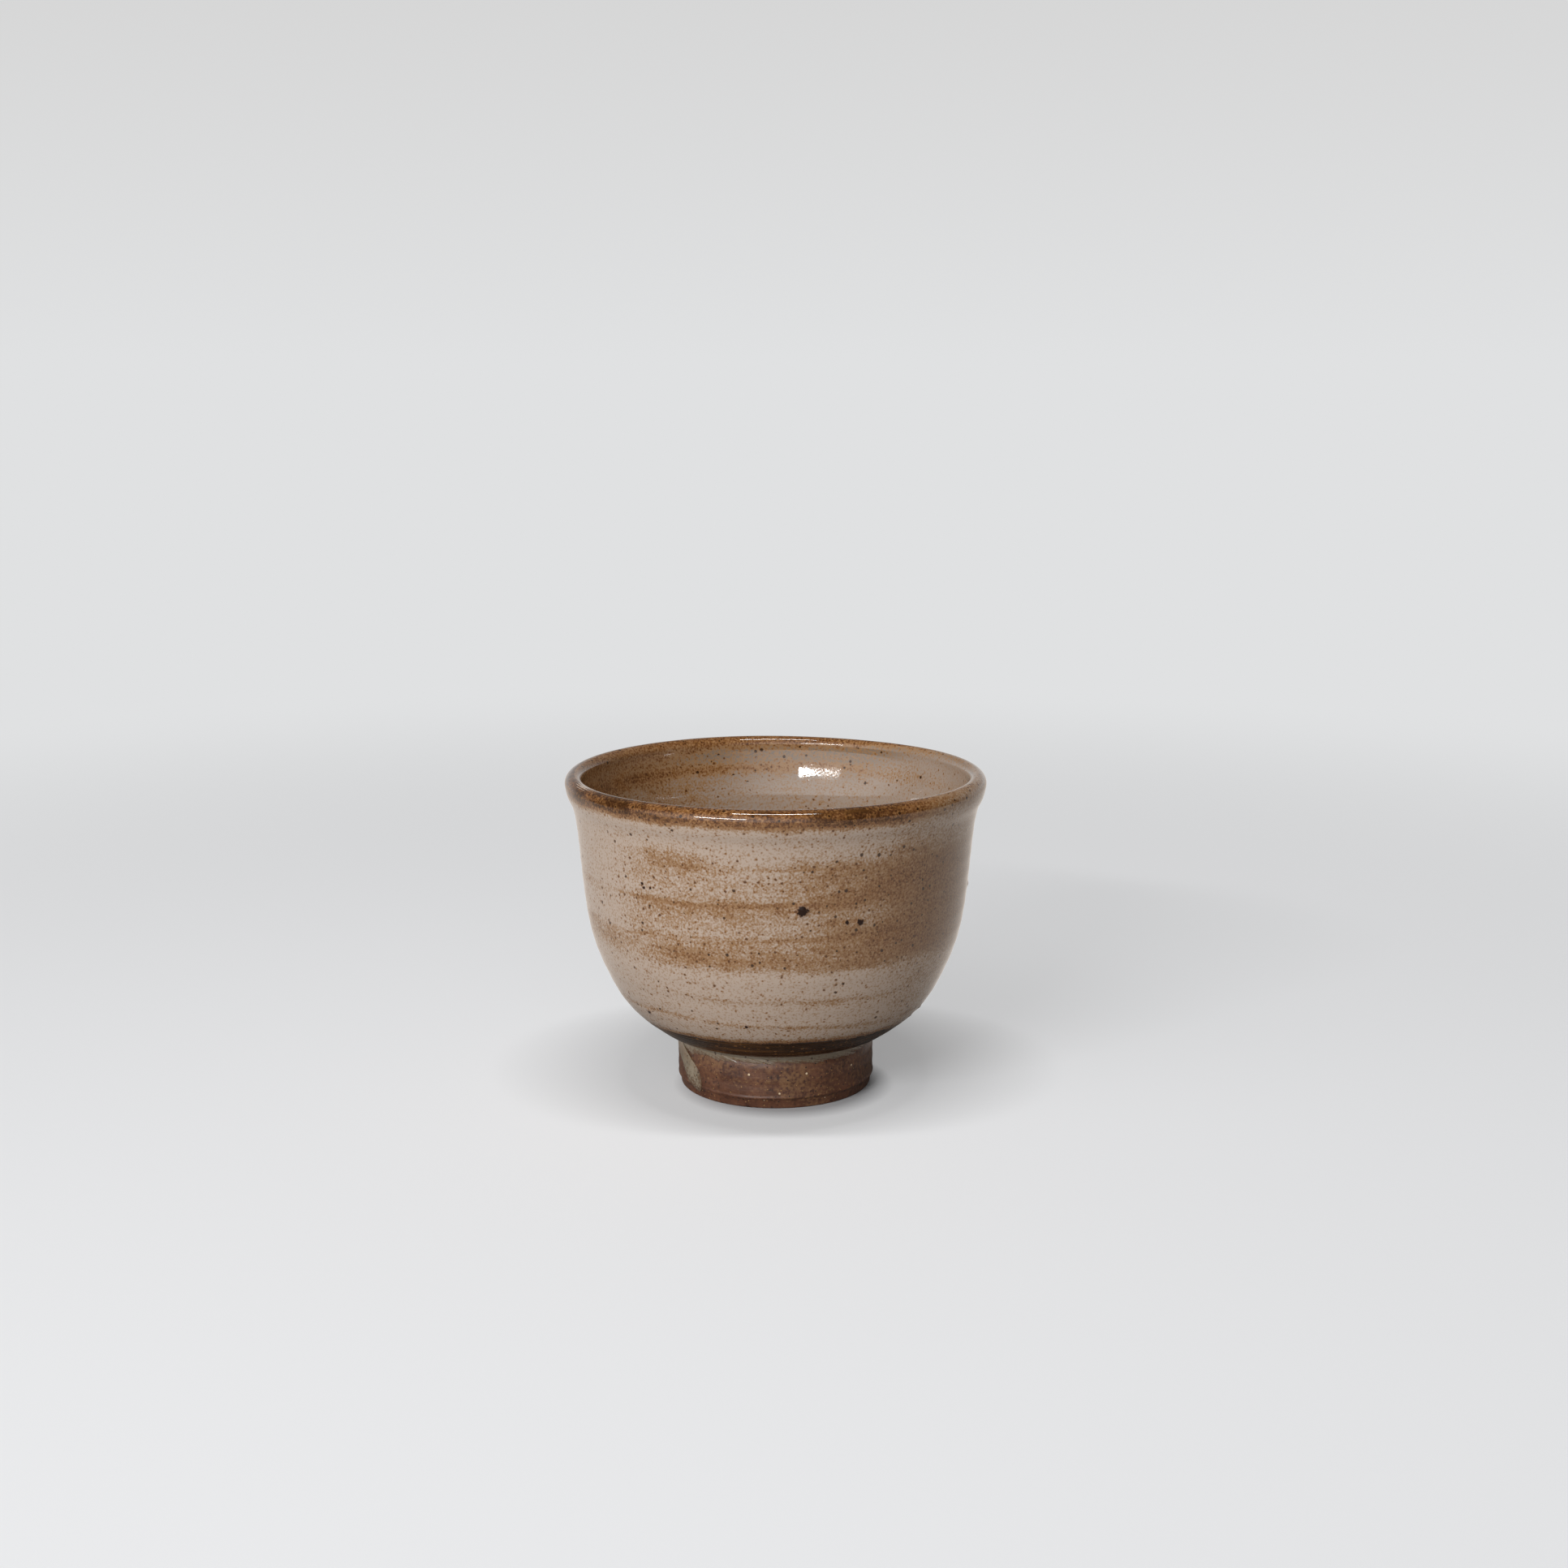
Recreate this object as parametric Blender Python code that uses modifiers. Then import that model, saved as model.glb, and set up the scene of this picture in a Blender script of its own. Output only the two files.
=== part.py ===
"""A low, wide stoneware tea cup: a thrown bowl on a turned foot ring, under its fired glaze coats.

Metres, +Z up. The cup stands at the origin, its axis on Z and its front facing -Y. An outline is half
a section, rows of (radius, height), and a Screw modifier turns it round the axis. A rise is an angle
above level, and a pull is the share of the distance between two knots that a curve's handle reaches.
"""

from math import cos, pi, radians, sin

import bmesh
import bpy
import numpy as np

# Heights and radii of the fired cup, measured over the glaze
FOOT_HEIGHT = 0.0114
BOWL_HEIGHT = 0.0534
RIM_RADIUS = 0.0425
FOOT_RADIUS = 0.0200

# Outer side of the bowl: the shoulder over the foot, the hip where the underside turns up, and the wall
SHOULDER_OVERHANG = 0.0033
SHOULDER_LIFT = 0.0007
SHOULDER_RISE = radians(34.2)
HIP_RADIUS = 0.0349
HIP_LIFT = 0.0145
HIP_RISE = radians(65.9)
WALL_RADIUS = 0.0395
WALL_DROP = 0.0150
WALL_RISE = radians(84.7)
UNDERSIDE_PULLS = (0.47, 0.41)
WALL_PULLS = (0.31, 0.51)
FLARE_PULLS = (0.90, 0.36)

# Rounded lip of the clay: its outer and inner rounds, and the angle where the outer one begins
LIP_ROUND = 0.0015
LIP_INNER_ROUND = 0.0012
LIP_START = radians(-9.8)

# Clay between the outer and inner sides, and the curve of the inner side
WALL_THICKNESS = 0.0022
HIP_THICKNESS = 0.0030
FLOOR_THICKNESS = 0.0046
FLOOR_PULLS = (0.45, 0.40)
INNER_WALL_PULLS = (0.33, 0.45)
INNER_FLARE_PULLS = (0.55, 0.30)

# Round bottom of the bowl, which hangs a little way down inside the foot
BASE_DROP = 0.0049
BASE_RISE = radians(33.0)
BASE_PULLS = (0.52, 0.26)

# Foot ring: the turned-in neck at its top, the chamfer at its base and the recess inside it
NECK_LENGTH = 0.0040
FOOT_CHAMFER_HEIGHT = 0.0023
FOOT_CHAMFER_DEPTH = 0.0006
FOOT_EDGE_ROUND = 0.0004
RING_WIDTH = 0.0048
RECESS_TAPER = 0.0012

# Glaze coats, and how far the lip's band reaches down outside and inside
GLAZE_THICKNESS = 0.0004
FIRING_GAP = 0.0003
LIP_BAND_OUTSIDE = 0.0043
LIP_BAND_INSIDE = 0.0030

# Collar of glaze on the foot, with a run down its left: azimuths from the front, positive to the right
COLLAR_WIDTH = 0.0014
RUN_LENGTH = 0.0079
RUN_AZIMUTH = radians(-67.0)
RUN_SPREAD_BACK = radians(15.0)
RUN_SPREAD_FRONT = radians(8.0)
RUN_TURN_PER_METRE = radians(1700.0)

# Fineness of the surfaces
TURN_STEPS = 48
UNDERSIDE_POINTS = 7
WALL_POINTS = 5
FLARE_POINTS = 6
LIP_POINTS = 4
FLOOR_POINTS = 8
INNER_WALL_POINTS = 4
BASE_POINTS = 7
SEAT_POINTS = 5
EDGE_POINTS = 3
COLLAR_COLUMNS = 96
COLLAR_ROWS = 4
MERGE_DISTANCE = 1e-6

# Fired colours and surfaces
STONEWARE = "#7A4A35"
GREY_BEIGE_GLAZE = "#A5988E"
LINER_GLAZE = "#9C9086"
IRON_BROWN_GLAZE = "#7C6247"
PALE_GLAZE = "#B3AE9F"
CLAY_ROUGHNESS = 0.75
GLAZE_ROUGHNESS = 0.3

COAT = FIRING_GAP + GLAZE_THICKNESS
RIM_HEIGHT = FOOT_HEIGHT + BOWL_HEIGHT
NECK_RADIUS = FOOT_RADIUS - COAT
BASE_HEIGHT = FOOT_HEIGHT - BASE_DROP


def heading(angle):
    """A unit step (radius, height) at an angle above level."""
    return np.array((cos(angle), sin(angle)))


def into_clay(radius, height, rise, depth):
    """A point of the outer side moved into the clay, square to the side that rises there at this angle."""
    return np.array((radius, height)) + depth * heading(rise + pi / 2)


def curve(start, start_rise, end, end_rise, pulls, count):
    """Points of the cubic Bezier from start to end that leaves and arrives at the given rises."""
    reach = np.linalg.norm(end - start)
    first = start + pulls[0] * reach * heading(start_rise)
    second = end - pulls[1] * reach * heading(end_rise)
    t = np.linspace(0, 1, count)[:, None]
    ends = (1 - t) ** 3 * start + t**3 * end
    return ends + 3 * t * (1 - t) ** 2 * first + 3 * t**2 * (1 - t) * second


def arc(centre, radius, start, end, count):
    """Points on a circle from one angle to another."""
    angles = np.linspace(start, end, count)
    return centre + radius * np.column_stack((np.cos(angles), np.sin(angles)))


def joined(*stretches):
    """Stretches of one outline end to end, with the point that two of them share kept once."""
    return np.vstack([stretches[0]] + [stretch[1:] for stretch in stretches[1:]])


def above(rising, height):
    """The part of a rising outline above a height, from the point at that height."""
    radius = np.interp(height, rising[:, 1], rising[:, 0])
    return np.vstack(((radius, height), rising[rising[:, 1] > height]))


def below(rising, height):
    """The part of a rising outline below a height, up to the point at that height."""
    radius = np.interp(height, rising[:, 1], rising[:, 0])
    return np.vstack((rising[rising[:, 1] < height], (radius, height)))


def offset(outline, distance):
    """The outline moved square to itself, to the left as it runs. A point on the axis stays on it."""
    steps = np.gradient(outline, axis=0)
    steps /= np.linalg.norm(steps, axis=1)[:, None]
    moved = outline + distance * np.column_stack((-steps[:, 1], steps[:, 0]))
    moved[outline[:, 0] == 0, 0] = 0
    return moved


def coat(outline):
    """The section of a glaze coat over a stretch of clay: along its face, and back along its underside."""
    return np.vstack((offset(outline, COAT), offset(outline, FIRING_GAP)[::-1]))


def run_share(azimuth):
    """How much of its full length the run hangs here: a cosine hump, wider behind than in front."""
    away = (azimuth - RUN_AZIMUTH + pi) % (2 * pi) - pi
    spread = RUN_SPREAD_FRONT if away > 0 else RUN_SPREAD_BACK
    return cos(pi / 2 * min(1.0, abs(away) / spread))


def linear(colour):
    """An sRGB hex colour as linear red, green, blue and alpha."""
    levels = np.array([int(colour[i : i + 2], 16) for i in (1, 3, 5)]) / 255
    low, high = levels / 12.92, ((levels + 0.055) / 1.055) ** 2.4
    return (*np.where(levels <= 0.04045, low, high), 1.0)


def placed(name, mesh, colour, roughness):
    """A smooth-shaded mesh put into the cup as a named object with its own fired surface."""
    mesh.shade_smooth()
    material = bpy.data.materials.new(name)
    material.use_nodes = True
    shader = material.node_tree.nodes["Principled BSDF"]
    shader.inputs["Base Color"].default_value = linear(colour)
    shader.inputs["Roughness"].default_value = roughness
    shader.inputs["Metallic"].default_value = 0.0
    mesh.materials.append(material)
    obj = bpy.data.objects.new(name, mesh)
    cup.objects.link(obj)
    return obj


def turned(name, section, closed, colour, roughness):
    """A section turned round the axis: a closed loop, or a line that begins and ends on the axis."""
    count = len(section)
    points = np.column_stack((section[:, 0], np.zeros(count), section[:, 1]))
    edges = [(i, i + 1) for i in range(count - 1)]
    if closed:
        edges.append((count - 1, 0))
    mesh = bpy.data.meshes.new(name)
    mesh.from_pydata(points.tolist(), edges, [])
    screw = placed(name, mesh, colour, roughness).modifiers.new("turn", "SCREW")
    screw.axis = "Z"
    screw.steps = screw.render_steps = TURN_STEPS
    screw.use_merge_vertices = True
    screw.merge_threshold = MERGE_DISTANCE
    screw.use_smooth_shade = True


for existing in list(bpy.data.objects):
    bpy.data.objects.remove(existing)
cup = bpy.data.collections.new("tea_cup")
bpy.context.scene.collection.children.link(cup)

# Outer side of the clay, rising from the edge of the foot's neck to the crest of the lip
neck_edge = np.array((NECK_RADIUS + FIRING_GAP, FOOT_HEIGHT + COAT))
shoulder_place = (FOOT_RADIUS + SHOULDER_OVERHANG, FOOT_HEIGHT + SHOULDER_LIFT, SHOULDER_RISE)
hip_place = (HIP_RADIUS, FOOT_HEIGHT + HIP_LIFT, HIP_RISE)
wall_place = (WALL_RADIUS, RIM_HEIGHT - WALL_DROP, WALL_RISE)
shoulder = into_clay(*shoulder_place, COAT)
hip = into_clay(*hip_place, COAT)
wall = into_clay(*wall_place, COAT)
lip_centre = np.array((RIM_RADIUS, RIM_HEIGHT)) - COAT - LIP_ROUND
lip_start = lip_centre + LIP_ROUND * heading(LIP_START)
outer_side = joined(
    np.vstack((neck_edge, shoulder)),
    curve(shoulder, SHOULDER_RISE, hip, HIP_RISE, UNDERSIDE_PULLS, UNDERSIDE_POINTS),
    curve(hip, HIP_RISE, wall, WALL_RISE, WALL_PULLS, WALL_POINTS),
    curve(wall, WALL_RISE, lip_start, LIP_START + pi / 2, FLARE_PULLS, FLARE_POINTS),
    arc(lip_centre, LIP_ROUND, LIP_START, pi / 2, LIP_POINTS),
)

# Inner side of the clay, rising from the middle of the floor to the crest
floor = np.array((0.0, BASE_HEIGHT + FLOOR_THICKNESS))
inner_hip = into_clay(*hip_place, COAT + HIP_THICKNESS)
inner_wall = into_clay(*wall_place, COAT + WALL_THICKNESS)
inner_lip_centre = np.array((lip_centre[0], RIM_HEIGHT - COAT - LIP_INNER_ROUND))
inner_lip = inner_lip_centre - (LIP_INNER_ROUND, 0)
inner_side = joined(
    curve(floor, 0.0, inner_hip, HIP_RISE, FLOOR_PULLS, FLOOR_POINTS),
    curve(inner_hip, HIP_RISE, inner_wall, WALL_RISE, INNER_WALL_PULLS, INNER_WALL_POINTS),
    curve(inner_wall, WALL_RISE, inner_lip, pi / 2, INNER_FLARE_PULLS, INNER_WALL_POINTS),
    arc(inner_lip_centre, LIP_INNER_ROUND, pi, pi / 2, EDGE_POINTS),
)

# Round bottom of the bowl, from its middle out to the foot's neck
base_middle = np.array((0.0, BASE_HEIGHT))
base = curve(base_middle, 0.0, neck_edge, BASE_RISE, BASE_PULLS, BASE_POINTS)

# Thrown bowl: up the inside, over the lip, down the outside and in under the bottom
bowl_section = joined(inner_side, outer_side[::-1], base[::-1])
turned("clay_bowl", bowl_section, False, STONEWARE, CLAY_ROUGHNESS)

# Foot ring: its top follows the bowl's round bottom, its outer side runs down the neck, wall and chamfer
chamfer_radius = FOOT_RADIUS - FOOT_CHAMFER_DEPTH
recess_radius = chamfer_radius - RING_WIDTH
seat = offset(base, -FIRING_GAP)
seat_radii = np.linspace(recess_radius - RECESS_TAPER, NECK_RADIUS, SEAT_POINTS)
foot_top = np.column_stack((seat_radii, np.interp(seat_radii, seat[:, 0], seat[:, 1])))
foot_wall = np.array(
    (
        foot_top[-1],
        (FOOT_RADIUS, FOOT_HEIGHT - NECK_LENGTH),
        (FOOT_RADIUS, FOOT_CHAMFER_HEIGHT),
        (chamfer_radius, FOOT_EDGE_ROUND),
    )
)
outer_edge = (chamfer_radius - FOOT_EDGE_ROUND, FOOT_EDGE_ROUND)
inner_edge = (recess_radius + FOOT_EDGE_ROUND, FOOT_EDGE_ROUND)
foot_section = np.vstack(
    (
        foot_wall[:-1],
        arc(outer_edge, FOOT_EDGE_ROUND, 0.0, -pi / 2, EDGE_POINTS),
        arc(inner_edge, FOOT_EDGE_ROUND, -pi / 2, -pi, EDGE_POINTS),
        foot_top[:-1],
    )
)
turned("foot_ring", foot_section, True, STONEWARE, CLAY_ROUGHNESS)

# Glaze on the bowl in three coats, parted by a hairline at the two edges of the lip's band
outer_band_edge = RIM_HEIGHT - LIP_BAND_OUTSIDE
inner_band_edge = RIM_HEIGHT - LIP_BAND_INSIDE
lip_stretch = joined(above(inner_side, inner_band_edge), above(outer_side, outer_band_edge)[::-1])
outer_stretch = below(outer_side, outer_band_edge - FIRING_GAP)[::-1]
inner_stretch = below(inner_side, inner_band_edge - FIRING_GAP)
turned("outer_glaze", coat(outer_stretch), True, GREY_BEIGE_GLAZE, GLAZE_ROUGHNESS)
turned("lip_glaze", coat(lip_stretch), True, IRON_BROWN_GLAZE, GLAZE_ROUGHNESS)
turned("inner_glaze", coat(inner_stretch), False, LINER_GLAZE, GLAZE_ROUGHNESS)

# Collar and run on the foot: a grid wrapped round the neck, each column hanging as low as the glaze ran
foot_skin = offset(foot_wall, FIRING_GAP)[::-1]
collar_top = FOOT_HEIGHT - FIRING_GAP
sheet = bmesh.new()
bmesh.ops.create_grid(sheet, x_segments=COLLAR_COLUMNS, y_segments=COLLAR_ROWS, size=1.0)
for vertex in sheet.verts:
    column = pi * vertex.co.x
    drop = (1 - vertex.co.y) / 2 * (COLLAR_WIDTH + RUN_LENGTH * run_share(column))
    azimuth = column + RUN_TURN_PER_METRE * drop
    radius = np.interp(collar_top - drop, foot_skin[:, 1], foot_skin[:, 0])
    vertex.co = (radius * sin(azimuth), -radius * cos(azimuth), collar_top - drop)
bmesh.ops.remove_doubles(sheet, verts=sheet.verts, dist=MERGE_DISTANCE)
collar_mesh = bpy.data.meshes.new("foot_glaze")
sheet.to_mesh(collar_mesh)
sheet.free()
collar = placed("foot_glaze", collar_mesh, PALE_GLAZE, GLAZE_ROUGHNESS)
solidify = collar.modifiers.new("thickness", "SOLIDIFY")
solidify.thickness = GLAZE_THICKNESS
solidify.offset = 1.0
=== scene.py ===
"""Looks of a low stoneware tea cup: the thrown bowl, its turned foot and the ash glaze fired over them.

Metres, +Z up, with the photographed front facing -Y. A piece is an outline, rows of (radius, height),
carried round the axis. Azimuths are measured from the front and are positive to the right.
"""

from math import cos, pi, radians, sin

import bmesh
import bpy
import numpy as np
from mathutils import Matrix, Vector


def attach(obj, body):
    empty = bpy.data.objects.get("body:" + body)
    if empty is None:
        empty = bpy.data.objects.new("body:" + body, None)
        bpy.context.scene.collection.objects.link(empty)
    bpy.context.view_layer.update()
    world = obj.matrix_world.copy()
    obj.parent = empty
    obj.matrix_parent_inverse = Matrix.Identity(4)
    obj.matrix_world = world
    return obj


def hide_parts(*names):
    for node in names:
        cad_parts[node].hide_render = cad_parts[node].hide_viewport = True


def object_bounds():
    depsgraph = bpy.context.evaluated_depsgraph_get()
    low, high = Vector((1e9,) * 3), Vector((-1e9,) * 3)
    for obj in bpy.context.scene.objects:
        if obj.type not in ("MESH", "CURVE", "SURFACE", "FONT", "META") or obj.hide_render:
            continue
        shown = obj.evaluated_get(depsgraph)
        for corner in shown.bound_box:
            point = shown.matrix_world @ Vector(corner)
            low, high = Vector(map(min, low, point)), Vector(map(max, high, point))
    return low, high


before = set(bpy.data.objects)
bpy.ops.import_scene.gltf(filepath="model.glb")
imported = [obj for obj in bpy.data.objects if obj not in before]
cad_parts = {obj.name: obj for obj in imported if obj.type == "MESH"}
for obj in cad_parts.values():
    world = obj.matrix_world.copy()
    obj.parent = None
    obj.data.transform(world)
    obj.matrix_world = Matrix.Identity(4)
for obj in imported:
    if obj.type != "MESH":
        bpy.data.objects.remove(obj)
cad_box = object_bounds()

# Thrown bowl: iron-bearing stoneware, drawn up on the wheel and turned round at the bottom when leather
# hard. Glaze covers it all but for that bottom, which stays bare inside the foot and shows from below.
mm = 0.001
RIM_RADIUS = cad_box[1][0]
RIM_HEIGHT = cad_box[1][2]
FOOT_RADIUS = 20.0 * mm
FOOT_HEIGHT = 11.4 * mm
SHOULDER = (FOOT_RADIUS + 3.3 * mm, FOOT_HEIGHT + 0.7 * mm, radians(34.2))
HIP = (34.9 * mm, FOOT_HEIGHT + 14.5 * mm, radians(65.9))
WALL = (39.5 * mm, RIM_HEIGHT - 15.0 * mm, radians(84.7))
LIP_ROUND = 1.5 * mm
LIP_INNER_ROUND = 1.2 * mm
LIP_START = radians(-9.8)
WALL_THICKNESS = 2.2 * mm
HIP_THICKNESS = 3.0 * mm
FLOOR_THICKNESS = 4.6 * mm
BASE_HEIGHT = FOOT_HEIGHT - 4.9 * mm
BASE_RISE = radians(33.0)
GLAZE_THICKNESS = 0.4 * mm
FIRING_GAP = 0.3 * mm
COAT = GLAZE_THICKNESS + FIRING_GAP
SPIRAL_PITCH = 1.9 * mm
SPIRAL_DEPTH = 0.09 * mm


def heading(angle):
    """A unit step (radius, height) at an angle above level."""
    return np.array((cos(angle), sin(angle)))


def into_clay(radius, height, rise, depth):
    """A point of the outer side moved into the clay, square to the side that rises there at this angle."""
    return np.array((radius, height)) + depth * heading(rise + pi / 2)


def curve(start, start_rise, end, end_rise, pulls, count=120):
    """The cubic Bezier from start to end that leaves and arrives at the given rises.

    Each handle reaches its pull times the distance between the two ends.
    """
    reach = np.linalg.norm(end - start)
    first = start + pulls[0] * reach * heading(start_rise)
    second = end - pulls[1] * reach * heading(end_rise)
    t = np.linspace(0, 1, count)[:, None]
    ends = (1 - t) ** 3 * start + t**3 * end
    return ends + 3 * t * (1 - t) ** 2 * first + 3 * t**2 * (1 - t) * second


def arc(centre, radius, start, end, count=60):
    """Points on a circle from one angle to another."""
    angles = np.linspace(start, end, count)
    return centre + radius * np.column_stack((np.cos(angles), np.sin(angles)))


def joined(*stretches):
    """Stretches of one outline end to end, with the point that two of them share kept once."""
    return np.vstack([stretches[0]] + [stretch[1:] for stretch in stretches[1:]])


def run_of(outline):
    """How far along the outline each of its points lies."""
    return np.concatenate(([0.0], np.cumsum(np.linalg.norm(np.diff(outline, axis=0), axis=1))))


def along(outline, distances):
    """Points at distances along an outline, and the unit normals to the left of its run there."""
    heads = np.gradient(outline, axis=0)
    heads /= np.linalg.norm(heads, axis=1)[:, None]
    columns = np.column_stack((outline, -heads[:, 1], heads[:, 0])).T
    found = np.column_stack([np.interp(distances, run_of(outline), column) for column in columns])
    return found[:, :2], found[:, 2:]


def offset(outline, distance):
    """The outline moved square to itself, to the left as it runs. A point on the axis stays on it."""
    points, normals = along(outline, run_of(outline))
    moved = points + distance * normals
    moved[outline[:, 0] == 0, 0] = 0
    return moved


def azimuths(columns):
    """Evenly spaced azimuths of the columns of a turned piece."""
    return np.arange(columns) * 2 * pi / columns


def turned(name, radius, height, ring, azimuth=None, **attributes):
    """A closed mesh on a grid: row i, column j stands radius[i, j] from the axis and height[i, j] high.

    Columns go round the axis, evenly unless their azimuths are given. A ring's last row meets its
    first, and any other grid starts and ends on the axis, where the points of a row become one.
    Attributes give one number for each grid point.
    """
    if azimuth is None:
        azimuth = azimuths(radius.shape[1])
    points = np.stack((radius * np.sin(azimuth), -radius * np.cos(azimuth), height), axis=-1)
    number = np.arange(radius.size).reshape(radius.shape)
    if ring:
        number = np.vstack((number, number[:1]))
    beside = np.roll(number, -1, axis=1)
    faces = np.stack((number[:-1], beside[:-1], beside[1:], number[1:]), axis=-1)
    mesh = bpy.data.meshes.new(name)
    mesh.from_pydata(points.reshape(-1, 3).tolist(), [], faces.reshape(-1, 4).tolist())
    for attribute, values in attributes.items():
        layer = mesh.attributes.new(attribute, "FLOAT", "POINT")
        layer.data.foreach_set("value", values.astype(np.float32).ravel())
    shell = bmesh.new()
    shell.from_mesh(mesh)
    bmesh.ops.remove_doubles(shell, verts=shell.verts, dist=1e-7)
    bmesh.ops.recalc_face_normals(shell, faces=shell.faces)
    shell.to_mesh(mesh)
    shell.free()
    mesh.shade_smooth()
    mesh.set_sharp_from_angle(angle=radians(50))
    piece = bpy.data.objects.new(name, mesh)
    bpy.context.scene.collection.objects.link(piece)
    return piece


def linear(colour):
    """An sRGB hex colour as linear red, green, blue and alpha."""
    levels = np.array([int(colour[i : i + 2], 16) for i in (1, 3, 5)]) / 255
    low, high = levels / 12.92, ((levels + 0.055) / 1.055) ** 2.4
    return (*np.where(levels <= 0.04045, low, high), 1.0)


def add(tree, kind, sockets, output=None, **settings):
    """One node with its settings, and each socket linked to another node's output or set to a value.

    Gives the named output, or else the first one in use.
    """
    made = tree.nodes.new("ShaderNode" + kind)
    for name, value in settings.items():
        setattr(made, name, value)
    for name, value in sockets.items():
        if isinstance(value, bpy.types.NodeSocket):
            tree.links.new(value, made.inputs[name])
        else:
            made.inputs[name].default_value = value
    return made.outputs[output] if output else next(socket for socket in made.outputs if socket.enabled)


def per_metre(size):
    """The scale that gives a pattern on Object coordinates this size."""
    return 1 / size


neck_edge = np.array((FOOT_RADIUS - COAT + FIRING_GAP, FOOT_HEIGHT + COAT))
shoulder = into_clay(*SHOULDER, COAT)
hip = into_clay(*HIP, COAT)
wall = into_clay(*WALL, COAT)
lip_centre = np.array((RIM_RADIUS, RIM_HEIGHT)) - COAT - LIP_ROUND
lip_start = lip_centre + LIP_ROUND * heading(LIP_START)
outer_side = joined(
    curve(neck_edge, radians(2.0), shoulder, SHOULDER[2], (0.45, 0.30)),
    curve(shoulder, SHOULDER[2], hip, HIP[2], (0.47, 0.41)),
    curve(hip, HIP[2], wall, WALL[2], (0.31, 0.51)),
    curve(wall, WALL[2], lip_start, LIP_START + pi / 2, (0.90, 0.36)),
    arc(lip_centre, LIP_ROUND, LIP_START, pi / 2),
)
floor_middle = np.array((0.0, BASE_HEIGHT + FLOOR_THICKNESS))
inner_hip = into_clay(*HIP, COAT + HIP_THICKNESS)
inner_wall = into_clay(*WALL, COAT + WALL_THICKNESS)
inner_lip_centre = np.array((lip_centre[0], RIM_HEIGHT - COAT - LIP_INNER_ROUND))
inner_lip = inner_lip_centre - (LIP_INNER_ROUND, 0)
inner_side = joined(
    curve(floor_middle, 0.0, inner_hip, HIP[2], (0.45, 0.40)),
    curve(inner_hip, HIP[2], inner_wall, WALL[2], (0.33, 0.45)),
    curve(inner_wall, WALL[2], inner_lip, pi / 2, (0.40, 0.30)),
    arc(inner_lip_centre, LIP_INNER_ROUND, pi, pi / 2),
)
base = curve(np.array((0.0, BASE_HEIGHT)), 0.0, neck_edge, BASE_RISE, (0.52, 0.26))

bowl_azimuth = azimuths(288)
hidden = joined(inner_side[::12], outer_side[::-12])
bottom, bottom_normals = along(base[::-1], np.linspace(0, run_of(base)[-1], 90))
spiral = np.sin(2 * pi * bottom[:, :1] / SPIRAL_PITCH + bowl_azimuth)
spiral_depth = SPIRAL_DEPTH * np.minimum(1, bottom[:, :1] / (2 * SPIRAL_PITCH))
turning = -spiral_depth * spiral**2
bowl_radius = np.vstack((hidden[:, :1] + 0 * bowl_azimuth, bottom[:, :1] + turning * bottom_normals[:, :1]))
bowl_height = np.vstack((hidden[:, 1:] + 0 * bowl_azimuth, bottom[:, 1:] + turning * bottom_normals[:, 1:]))
bowl = turned("thrown_bowl", bowl_radius, bowl_height, ring=False)


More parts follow.
